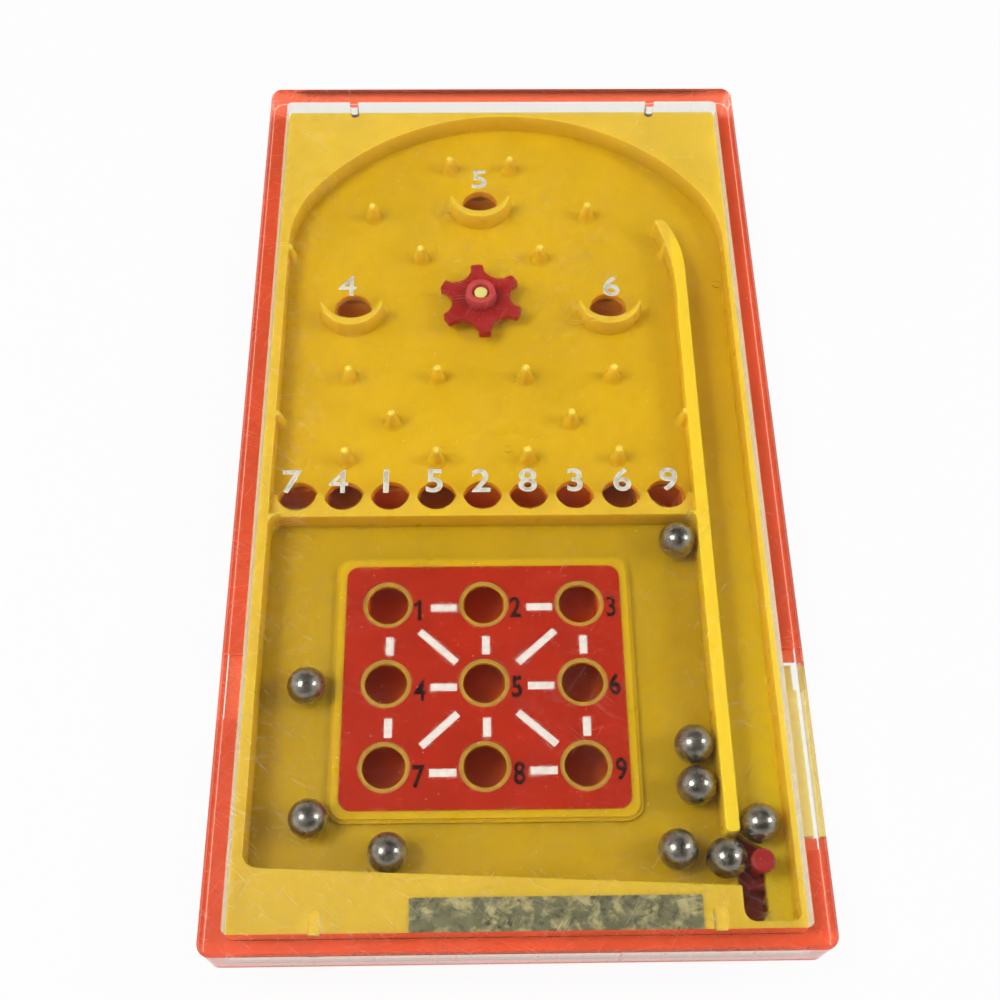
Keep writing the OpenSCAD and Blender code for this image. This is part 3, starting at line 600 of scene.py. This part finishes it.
class BALL_GAME_OT_playfield(bpy.types.Operator):
    """Dresses the yellow playfield with its pins, cups and windows"""
    bl_idname = "ball_game.playfield"
    bl_label = "Playfield"

    def execute(self, context):
        sizes, colours = context.scene.ball_game_sizes, context.scene.ball_game_colours
        # What lies below the tray's floor is out of sight and keeps its plain mesh.
        in_sight = TRAY_LEVEL - 0.05 * MM
        piece = merged_copy("playfield", "playfield_moulding", in_sight)
        round_edges(piece, sizes.edge_round, lambda middle, edge: middle.z > in_sight)
        smooth(piece)
        paint = Paint("playfield_plastic")
        height = paint.along("Z")
        # Painted shade: the field and the tray take darker copies of the deck's yellow, darker the lower they
        # lie.
        field = cloudy(paint, colours.shaded_field_yellow, scaled(colours.shaded_field_yellow, 0.88), 60)
        over_tray = paint.spread(height, TRAY_LEVEL + 0.2 * MM, FIELD_LEVEL - 0.05 * MM)
        tint = paint.blend(over_tray, self.low_tint(paint, colours), field)
        on_deck = paint.spread(height, FIELD_LEVEL + 0.5 * MM, DECK_LEVEL - 0.3 * MM)
        tint = paint.blend(on_deck, tint, self.deck_tint(paint, colours))
        # Painted highlight: the tips of the pins are paler.
        pin_top_highlight = paint.spread(height, DECK_LEVEL + 0.55 * MM, DECK_LEVEL + 0.7 * MM)
        tint = paint.blend(pin_top_highlight, tint, PIN_TOP_HIGHLIGHT)
        # Painted light: the side tab by the right wall is paler.
        tint = paint.blend(paint.rise("X", 30.8, 31.3), tint, LIT_SIDE_TAB)
        finish = moulded(paint, tint, colours.shaded_tray_yellow, 0.30, 0.55, 0.24)
        finish_piece(piece, finish, "case", "field_yellow", "playfield")
        self.colour_holes(piece, colours)
        self.colour_edges(piece, colours)
        self.add_rims(colours)
        return {"FINISHED"}

    def low_tint(self, paint, colours):
        """The floor of the tray, and the lane to its right, which painted light makes paler towards its near
        end.
        """
        lane = cloudy(paint, scaled(colours.shaded_field_yellow, 1.08), colours.shaded_field_yellow)
        lane = paint.blend(paint.rise("Y", 10, -35), lane, LIT_LANE_END)
        tray = cloudy(paint, colours.shaded_tray_yellow, scaled(colours.shaded_tray_yellow, 0.88))
        return paint.blend(paint.rise("X", 23.5, 25.5), tray, lane)

    def deck_tint(self, paint, colours):
        """The deck, deeper towards the near end, with a painted highlight that makes the top of the divider
        paler.
        """
        deck = cloudy(paint, scaled(colours.yellow, 1.05), scaled(colours.yellow, 0.93), 130)
        deck = paint.blend(paint.rise("Y", -30, -55, 0, 0.6), deck, scaled(colours.yellow, 0.80))
        on_divider = paint.product(paint.rise("X", 22.6, 22.9), paint.rise("X", 24.8, 24.5),
                                   paint.rise("Y", 38, 34), paint.rise("Y", -50, -49))
        return paint.blend(on_divider, deck, LIT_DIVIDER_TOP)

    def colour_holes(self, piece, colours):
        """Gives the upright walls of the round holes their own orange, a painted glow of light through the
        plastic in shade.
        """
        paint = Paint("hole_wall_glow")
        tint = cloudy(paint, colours.hole_wall_glow, scaled(colours.hole_wall_glow, 0.8), 300)
        piece.data.materials.append(moulded(paint, tint, colours.hole_wall_glow, 0.4, 0.3, 0.2))
        for face in piece.data.polygons:
            upright = abs(face.normal.z) < 0.3
            below_field = face.center.z < FIELD_LEVEL - 0.1 * MM
            if upright and below_field and self.in_a_hole(face.center):
                face.material_index = 1

    def colour_edges(self, piece, colours):
        """Gives the rounded upper edges of the deck a paler yellow, as a painted highlight."""
        paint = Paint("edge_highlight")
        tint = cloudy(paint, colours.edge_highlight, scaled(colours.edge_highlight, 0.85), 400)
        piece.data.materials.append(moulded(paint, tint, colours.yellow, 0.2, 0.3, 0.5))
        for face in piece.data.polygons:
            slopes = 0.2 < face.normal.z < 0.97
            at_the_deck = DECK_LEVEL - 0.3 * MM < face.center.z < DECK_LEVEL + 0.2 * MM
            if slopes and at_the_deck:
                face.material_index = 2

    def in_a_hole(self, place):
        """Whether the place lies on the wall of a hole, a cup or a window."""
        return any(abs(math.hypot(place.x - x * MM, place.y - y * MM) - WINDOW_RADIUS * MM) < 0.2 * MM
                   for x, y in HOLES)

    def add_rims(self, colours):
        """Dull tan rims that show round the windows, as painted shade."""
        rims = []
        inner, outer, thick = (WINDOW_RADIUS + 0.12) * MM, (WINDOW_RADIUS + 0.48) * MM, 0.03 * MM
        for x in WINDOW_COLUMNS:
            for y in WINDOW_ROWS:
                deselect_all()
                bpy.ops.mesh.primitive_circle_add(vertices=72, radius=inner,
                                                  location=(x * MM, y * MM, LABEL_LOW.z + 0.002 * MM))
                rim = bpy.context.active_object
                settle(rim)
                bpy.ops.object.mode_set(mode="EDIT")
                bpy.ops.mesh.select_all(action="SELECT")
                bpy.ops.mesh.extrude_edges_move()
                bpy.ops.transform.resize(value=(outer / inner, outer / inner, 1),
                                         center_override=(x * MM, y * MM, LABEL_LOW.z))
                bpy.ops.mesh.select_all(action="SELECT")
                bpy.ops.mesh.extrude_region_move(TRANSFORM_OT_translate={"value": (0, 0, thick)})
                bpy.ops.mesh.select_all(action="SELECT")
                bpy.ops.mesh.normals_make_consistent(inside=False)
                bpy.ops.object.mode_set(mode="OBJECT")
                rims.append(rim)
        piece = joined(rims, "window_rims")
        paint = Paint("rim_shade")
        tint = cloudy(paint, colours.window_rim_shade, scaled(colours.window_rim_shade, 0.75), 500)
        finish_piece(piece, moulded(paint, tint, colours.window_rim_shade, 0.4, 0.0, 0.3), "case", "field_yellow")


class BALL_GAME_OT_cover(bpy.types.Operator):
    """Dresses the clear cover with its fine scratches"""
    bl_idname = "ball_game.cover"
    bl_label = "Clear cover"

    def execute(self, context):
        piece = merged_copy("clear_cover", "cover")
        smooth(piece)
        paint = Paint("clear_plastic")
        scratches = None
        for turn, across, along, low in SCRATCHES:
            lines = paint.noise(60, 2, 0.5, paint.stretched((across, along, 1), (0, 0, turn)), 0.05)
            line = paint.spread(lines, low, low + 0.08)
            scratches = line if scratches is None else paint.maths("MAXIMUM", scratches, line)
        # Worn in patches, and more along the left side and the near end
        patches = paint.spread(paint.noise(38, 4, 0.6), 0.42, 0.72)
        ends = paint.maths("MAXIMUM", paint.rise("X", -8, -26), paint.rise("Y", -38, -54))
        patches = paint.maths("MAXIMUM", patches, paint.product(ends, 0.8))
        worn = paint.product(scratches, patches)
        dust = paint.spread(paint.noise(3600, 2, 0.4), 0.755, 0.79)
        marks = paint.maths("MAXIMUM", worn, paint.product(dust, 0.7))
        paint.roughness(paint.spread(marks, 0, 1, 0.02, 0.4))
        paint.normal(paint.relief(scratches, 0.01 * MM, 0.2))
        paint.link(paint.spread(marks, 0, 1, 1.0, 0.90), paint.shader.inputs["Transmission Weight"])
        paint.set(IOR=1.49, Base_Color=(0.985, 0.985, 0.975, 1))
        # Lamps shine straight through, so that the clear walls don't darken what they cover.
        clear = paint.tree.nodes.new("ShaderNodeBsdfTransparent")
        rays = paint.tree.nodes.new("ShaderNodeLightPath")
        paint.mixed(rays.outputs["Is Shadow Ray"], paint.shader.outputs["BSDF"], clear.outputs["BSDF"])
        finish_piece(piece, paint.material, "case", "cover_clear", "clear_cover")
        return {"FINISHED"}


class BALL_GAME_OT_cover_digits(bpy.types.Operator):
    """Adds the raised white numbers on the underside of the cover"""
    bl_idname = "ball_game.cover_digits"
    bl_label = "Cover numbers"

    def execute(self, context):
        sizes, colours = context.scene.ball_game_sizes, context.scene.ball_game_colours
        under = COVER_HIGH.z - COVER_TOP_THICK
        depth = sizes.cover_digit_depth
        rounded = 0.05 * MM
        parts = []
        for digit, x, y in COVER_DIGITS:
            # A 4 as bold as the others would close its counter.
            bold = COVER_BOLD_4 if digit == "4" else COVER_BOLD
            parts.append(letter(digit, x * MM, y * MM, under - depth / 2, sizes.cover_digit_height, depth,
                                bold, COVER_WIDEN, rounded))
        piece = joined(parts, "cover_digits")
        paint = Paint("digit_white")
        # Wear and painted shade: darker, browner patches over the white.
        worn = paint.spread(paint.noise(1300, 4, 0.6), 0.45, 0.72)
        paint.colour(paint.blend(worn, rgb(colours.digit_white), DIGIT_WEAR_AND_SHADE))
        paint.roughness(paint.spread(paint.noise(3000, 2), 0.3, 0.7, 0.2, 0.4))
        finish_piece(piece, paint.material, "case", "cover_clear")
        return {"FINISHED"}


class BALL_GAME_OT_panel(bpy.types.Operator):
    """Dresses the printed panel and adds its bars and numbers"""
    bl_idname = "ball_game.panel"
    bl_label = "Printed panel"

    def execute(self, context):
        sizes, colours = context.scene.ball_game_sizes, context.scene.ball_game_colours
        panel = frame["nodes"]["grid_label"]
        paint = Paint("panel_print")
        cloud = paint.spread(paint.noise(240, 5, 0.6), 0.35, 0.7)
        tint = paint.blend(cloud, rgb(colours.panel_red), scaled(colours.panel_red, 0.84))
        dust = paint.spread(paint.noise(2300, 3, 0.5), 0.69, 0.76)
        tint = paint.blend(paint.product(dust, 0.5), tint, PANEL_DUST)
        paint.colour(tint)
        paint.set(Specular_IOR_Level=0.12)
        paint.roughness(paint.spread(paint.noise(700, 4, 0.6), 0.3, 0.7, 0.42, 0.6))
        paint.normal(paint.relief(paint.noise(4000, 3), 0.01 * MM, 0.6))
        for slot in panel.material_slots:
            slot.material = paint.material
        self.print_bars(sizes, colours)
        self.print_digits(sizes, colours)
        return {"FINISHED"}

    def print_bars(self, sizes, colours):
        width, upright = sizes.bar_width, sizes.upright_bar_length
        bars = [self.bar(x * MM, y * MM, sizes.bar_length, width, 0, sizes) for x, y in ACROSS]
        bars += [self.bar(x * MM, y * MM, width, upright, 0, sizes) for x, y in UPRIGHT]
        for (x0, y0), (x1, y1) in SLANTED:
            angle = math.atan2(y1 - y0, x1 - x0)
            length = math.hypot(x1 - x0, y1 - y0) * MM
            narrow = width * 0.95
            bars.append(self.bar((x0 + x1) / 2 * MM, (y0 + y1) / 2 * MM, length, narrow, angle, sizes))
        piece = joined(bars, "panel_bars")
        paint = printed("white_ink", colours.ink_white, scaled(colours.ink_white, 0.8), 1800, (0.38, 0.72),
                        (0.45, 0.62))
        finish_piece(piece, paint.material, "case", "panel_red")

    def print_digits(self, sizes, colours):
        high, thick = sizes.panel_digit_height, sizes.ink_thickness
        digits = []
        for digit, x, y in PANEL_DIGITS:
            bold = PANEL_BOLD.get(digit, PANEL_BOLD_OTHERS) * MM
            digits.append(letter(digit, x * MM, y * MM, LABEL_HIGH.z + thick / 2, high, thick, bold,
                                 PANEL_WIDEN))
        # The font's 1 is a plain stroke, so its flag is a short bar.
        one_x, one_y = PANEL_DIGITS[0][1:]
        digits.append(self.bar(one_x * MM - 0.13 * high, one_y * MM + 0.30 * high, 0.34 * high, 0.15 * high,
                               math.radians(38), sizes))
        piece = joined(digits, "panel_digits")
        paint = printed("black_ink", colours.ink_black, WORN_INK, 2200, (0.45, 0.8), (0.4, 0.6))
        paint.set(Specular_IOR_Level=0.1)
        finish_piece(piece, paint.material, "case", "panel_red")

    def bar(self, x, y, length, width, angle, sizes):
        """One printed bar on the panel, its middle at x and y."""
        thick = sizes.ink_thickness
        deselect_all()
        middle = (x, y, LABEL_HIGH.z + thick / 2)
        bpy.ops.mesh.primitive_cube_add(size=1, location=middle, rotation=(0, 0, angle))
        piece = bpy.context.active_object
        piece.scale = (length, width, thick)
        settle(piece)
        corner = 0.08 * MM
        round_edges(piece, corner, lambda middle, edge: climbs(edge, thick / 2))
        return piece


class BALL_GAME_OT_foil(bpy.types.Operator):
    """Adds the worn foil strip on the near bar"""
    bl_idname = "ball_game.foil"
    bl_label = "Foil strip"

    def execute(self, context):
        colours = context.scene.ball_game_colours
        piece = merged_copy("foil_strip", "foil")
        corner, half = 0.15 * MM, (FOIL_HIGH.z - FOIL_LOW.z) / 2
        round_edges(piece, corner, lambda middle, edge: climbs(edge, half))
        paint = Paint("worn_foil")
        patches = paint.spread(paint.noise(560, 5, 0.7, distortion=0.5), 0.48, 0.60)
        tint = paint.blend(patches, scaled(colours.foil, 0.82), FOIL_BARE)
        scuffs = paint.spread(paint.noise(1300, 5, 0.7), 0.54, 0.68)
        tint = paint.blend(scuffs, tint, FOIL_SCUFF)
        paint.colour(tint)
        paint.roughness(paint.spread(paint.noise(900, 5, 0.6), 0.3, 0.75, 0.3, 0.62))
        paint.normal(paint.relief(paint.noise(900, 5, 0.65), 0.04 * MM, 0.6))
        paint.set(Metallic=0.55)
        finish_piece(piece, paint.material, "case", "foil", "foil_strip")
        return {"FINISHED"}


class BALL_GAME_OT_star(bpy.types.Operator):
    """Dresses the loose red star"""
    bl_idname = "ball_game.star"
    bl_label = "Star"

    def execute(self, context):
        sizes, colours = context.scene.ball_game_sizes, context.scene.ball_game_colours
        piece = merged_copy("star_spinner", "star_wheel")
        # The fine teeth take less than half of the rounding, and only on the wheel's upper face and its hub.
        low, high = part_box("star_spinner")
        above = low.z + 0.9 * MM
        round_edges(piece, sizes.edge_round * 0.44, lambda middle, edge: middle.z > above, clamp=False)
        smooth(piece)
        paint = Paint("star_plastic")
        tint = cloudy(paint, scaled(colours.star_red, 1.15), scaled(colours.star_red, 0.9))
        # Painted shade darkens the wheel towards the foot of its hub, and painted light makes the hub paler.
        middle = (low + high) / 2
        off_x = paint.maths("SUBTRACT", paint.along("X"), middle.x)
        off_y = paint.maths("SUBTRACT", paint.along("Y"), middle.y)
        squares = paint.maths("ADD", paint.product(off_x, off_x), paint.product(off_y, off_y))
        away = paint.maths("SQRT", squares)
        hub_foot_shade = paint.spread(away, 3.6 * MM, 1.9 * MM, 0, 0.55)
        tint = paint.blend(hub_foot_shade, tint, scaled(colours.star_red, 0.55))
        tint = paint.blend(paint.rise("Z", 11.5, 12.6), tint, LIT_STAR_HUB)
        finish = moulded(paint, tint, colours.star_red, 0.28, 0.08)
        finish_piece(piece, finish, "star", "star_red", "star_spinner")
        return {"FINISHED"}


class BALL_GAME_OT_launcher(bpy.types.Operator):
    """Dresses the launcher's slide and its spring"""
    bl_idname = "ball_game.launcher"
    bl_label = "Launcher"

    def execute(self, context):
        sizes, colours = context.scene.ball_game_sizes, context.scene.ball_game_colours
        piece = merged_copy("launcher_slide", "slide")
        round_edges(piece, sizes.edge_round * 0.55, lambda middle, edge: True, clamp=False)
        smooth(piece)
        paint = Paint("launcher_plastic")
        # Painted shade: the slide takes a darker copy of the star's red.
        tint = cloudy(paint, scaled(colours.star_red, 0.88), scaled(colours.star_red, 0.70))
        finish = moulded(paint, tint, colours.star_red, 0.3, 0.08)
        finish_piece(piece, finish, "launcher", "launcher_red", "launcher_slide")

        wire = self.wire_finish(colours)
        for slot in frame["nodes"]["launcher_spring"].material_slots:
            slot.material = wire
        return {"FINISHED"}

    def wire_finish(self, colours):
        paint = Paint("spring_steel")
        stain = paint.spread(paint.noise(1200, 4, 0.6), 0.4, 0.7)
        paint.colour(paint.blend(stain, scaled(colours.steel, 1.5), scaled(colours.steel, 0.9)))
        paint.roughness(paint.spread(paint.noise(3000, 3), 0.3, 0.7, 0.22, 0.4))
        paint.set(Metallic=1.0)
        return paint.material


class BALL_GAME_OT_balls(bpy.types.Operator):
    """Places the nine steel balls"""
    bl_idname = "ball_game.balls"
    bl_label = "Steel balls"

    def execute(self, context):
        colours = context.scene.ball_game_colours
        paint = Paint("ball_steel")
        stain = paint.spread(paint.noise(900, 5, 0.65, distortion=0.3), 0.40, 0.66)
        tint = paint.blend(stain, scaled(colours.steel, 1.15), scaled(colours.steel, 0.5))
        pits = paint.spread(paint.noise(3800, 3, 0.6), 0.64, 0.74)
        tint = paint.blend(pits, tint, BALL_PIT)
        paint.colour(tint)
        paint.roughness(paint.spread(paint.noise(1100, 5, 0.65), 0.35, 0.68, 0.24, 0.46))
        dents = paint.relief(paint.noise(1500, 4, 0.6), 0.012 * MM, 0.6)
        dents = paint.relief(pits, 0.012 * MM, 0.6, dents)
        paint.normal(dents)
        paint.link(dents, paint.shader.inputs["Coat Normal"])
        # The polished skin gives the small sharp highlights over the duller, worn steel.
        paint.set(Metallic=1.0, Coat_Weight=1.0, Coat_Roughness=0.07, Coat_IOR=2.0)
        for node in BALLS:
            low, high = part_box(node)
            deselect_all()
            bpy.ops.mesh.primitive_uv_sphere_add(segments=64, ring_count=32, radius=(high.z - low.z) / 2,
                                                 location=(low + high) / 2)
            ball = named(bpy.context.active_object, "steel_%s" % node)
            settle(ball)
            bpy.ops.object.shade_smooth()
            finish_piece(ball, paint.material, "steel_%s" % node, "ball_steel", node)
        return {"FINISHED"}


def look_matrix(place, pitch, yaw, roll):
    """Matrix of a camera at a place, looking down by pitch, then turned and tilted."""
    ahead = Vector((0, math.cos(pitch), -math.sin(pitch)))
    right = Vector((1, 0, 0))
    start = Matrix((right, right.cross(ahead), -ahead))
    turn = Matrix(((math.cos(yaw), math.sin(yaw), 0), (-math.sin(yaw), math.cos(yaw), 0), (0, 0, 1)))
    tilt = Matrix(((math.cos(roll), math.sin(roll), 0), (-math.sin(roll), math.cos(roll), 0), (0, 0, 1)))
    return Matrix.Translation(place) @ (tilt @ start @ turn).transposed().to_4x4()


class BALL_GAME_OT_stage(bpy.types.Operator):
    """Sets up the camera, the lamps and the pale floor"""
    bl_idname = "ball_game.stage"
    bl_label = "Stage"

    def execute(self, context):
        stage, colours = context.scene.ball_game_stage, context.scene.ball_game_colours
        deselect_all()
        bpy.ops.object.camera_add()
        camera = named(bpy.context.active_object, "camera")
        camera.data.lens = stage.lens
        camera.data.sensor_width = SENSOR_WIDTH
        camera.data.clip_start = NEAREST
        camera.data.clip_end = FARTHEST
        camera.matrix_world = look_matrix(stage.camera_place, stage.camera_pitch, stage.camera_yaw,
                                          stage.camera_roll)
        context.scene.camera = camera

        middle = Vector((0, 0, COVER_HIGH.z))
        for name, away, side, share in LAMPS:
            deselect_all()
            bpy.ops.object.light_add(type="AREA")
            lamp = named(bpy.context.active_object, name)
            lamp.location = middle + away.normalized() * LAMP_AWAY
            lamp.rotation_euler = away.to_track_quat("Z", "Y").to_euler()
            lamp.data.size = side
            lamp.data.energy = stage.lamp_power * share

        deselect_all()
        bpy.ops.mesh.primitive_plane_add(size=stage.floor_size)
        floor = named(bpy.context.active_object, "floor")
        paint = Paint("floor_paper")
        paint.set(Roughness=0.9, Base_Color=(*rgb(colours.floor), 1))
        # Seen straight, mirrored or through the plastic, the floor is nearly white and keeps a faint shadow.
        glow = paint.tree.nodes.new("ShaderNodeEmission")
        rays = paint.tree.nodes.new("ShaderNodeLightPath")
        seen = paint.maths("MAXIMUM", rays.outputs["Is Glossy Ray"], rays.outputs["Is Transmission Ray"])
        seen = paint.maths("MAXIMUM", rays.outputs["Is Camera Ray"], seen)
        paint.mixed(paint.product(seen, 0.94), paint.shader.outputs["BSDF"], glow.outputs["Emission"])
        floor.data.materials.append(paint.material)

        self.light_the_sky(context.scene, stage)
        context.scene.view_settings.view_transform = "Standard"
        return {"FINISHED"}

    def light_the_sky(self, scene, stage):
        """Soft light from all sides, brightest near the horizon, and white where the camera sees it."""
        world = bpy.data.worlds.new("studio")
        scene.world = world
        world.use_nodes = True
        tree = world.node_tree
        place = tree.nodes.new("ShaderNodeTexCoord")
        parts = tree.nodes.new("ShaderNodeSeparateXYZ")
        tree.links.new(place.outputs["Generated"], parts.inputs["Vector"])
        rays = tree.nodes.new("ShaderNodeLightPath")
        soft = self.sky_part(tree, parts.outputs["Z"], stage.sky_low, stage.sky_high)
        mirrored = self.sky_part(tree, parts.outputs["Z"], stage.sky_low, stage.sky_mirrored)
        # Only what the camera sees straight in a glossy face is the darker, mirrored sky.
        first = tree.nodes.new("ShaderNodeMath")
        first.operation = "LESS_THAN"
        first.inputs[1].default_value = 0.5
        tree.links.new(rays.outputs["Diffuse Depth"], first.inputs[0])
        both = tree.nodes.new("ShaderNodeMath")
        both.operation = "MULTIPLY"
        tree.links.new(rays.outputs["Is Glossy Ray"], both.inputs[0])
        tree.links.new(first.outputs["Value"], both.inputs[1])
        white = tree.nodes.new("ShaderNodeBackground")
        white.inputs["Color"].default_value = (1, 1, 1, 1)
        sky = self.either(tree, both.outputs["Value"], soft, mirrored)
        sky = self.either(tree, rays.outputs["Is Camera Ray"], sky, white.outputs["Background"])
        tree.links.new(sky, tree.nodes["World Output"].inputs["Surface"])

    def sky_part(self, tree, height, low, high):
        """A sky that fades from the horizon to overhead."""
        fade = tree.nodes.new("ShaderNodeMapRange")
        fade.interpolation_type = "SMOOTHSTEP"
        numbers = {"From Min": FADE_START, "From Max": FADE_END, "To Min": low, "To Max": high}
        for socket, number in numbers.items():
            fade.inputs[socket].default_value = number
        tree.links.new(height, fade.inputs["Value"])
        back = tree.nodes.new("ShaderNodeBackground")
        back.inputs["Color"].default_value = (1, 1, 1, 1)
        tree.links.new(fade.outputs["Result"], back.inputs["Strength"])
        return back.outputs["Background"]

    def either(self, tree, share, a, b):
        node = tree.nodes.new("ShaderNodeMixShader")
        tree.links.new(share, node.inputs["Fac"])
        tree.links.new(a, node.inputs[1])
        tree.links.new(b, node.inputs[2])
        return node.outputs["Shader"]


class BALL_GAME_PT_panel(bpy.types.Panel):
    """Settings and pieces of the ball game"""
    bl_idname = "BALL_GAME_PT_panel"
    bl_label = "Ball game"
    bl_space_type = "VIEW_3D"
    bl_region_type = "UI"
    bl_category = "Ball game"

    def draw(self, context):
        layout = self.layout
        for title, settings in (("Sizes", context.scene.ball_game_sizes),
                                ("Colours", context.scene.ball_game_colours),
                                ("Stage", context.scene.ball_game_stage)):
            box = layout.box()
            box.label(text=title)
            for name in type(settings).__annotations__:
                box.prop(settings, name)
        column = layout.column(align=True)
        for operator in OPERATORS:
            column.operator(operator.bl_idname)


OPERATORS = (
    BALL_GAME_OT_stage, BALL_GAME_OT_tray, BALL_GAME_OT_playfield, BALL_GAME_OT_panel,
    BALL_GAME_OT_foil, BALL_GAME_OT_star, BALL_GAME_OT_launcher, BALL_GAME_OT_balls,
    BALL_GAME_OT_cover, BALL_GAME_OT_cover_digits,
)
CLASSES = (BallGameSizes, BallGameColours, BallGameStage, *OPERATORS, BALL_GAME_PT_panel)


def register():
    for cls in CLASSES:
        bpy.utils.register_class(cls)
    bpy.types.Scene.ball_game_sizes = PointerProperty(type=BallGameSizes)
    bpy.types.Scene.ball_game_colours = PointerProperty(type=BallGameColours)
    bpy.types.Scene.ball_game_stage = PointerProperty(type=BallGameStage)


def unregister():
    del bpy.types.Scene.ball_game_stage
    del bpy.types.Scene.ball_game_colours
    del bpy.types.Scene.ball_game_sizes
    for cls in reversed(CLASSES):
        bpy.utils.unregister_class(cls)


def main():
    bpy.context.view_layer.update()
    register()
    bpy.ops.ball_game.stage()
    bpy.ops.ball_game.tray()
    bpy.ops.ball_game.playfield()
    bpy.ops.ball_game.panel()
    bpy.ops.ball_game.foil()
    bpy.ops.ball_game.star()
    bpy.ops.ball_game.launcher()
    bpy.ops.ball_game.balls()
    bpy.ops.ball_game.cover()
    bpy.ops.ball_game.cover_digits()


if __name__ == "__main__":
    main()
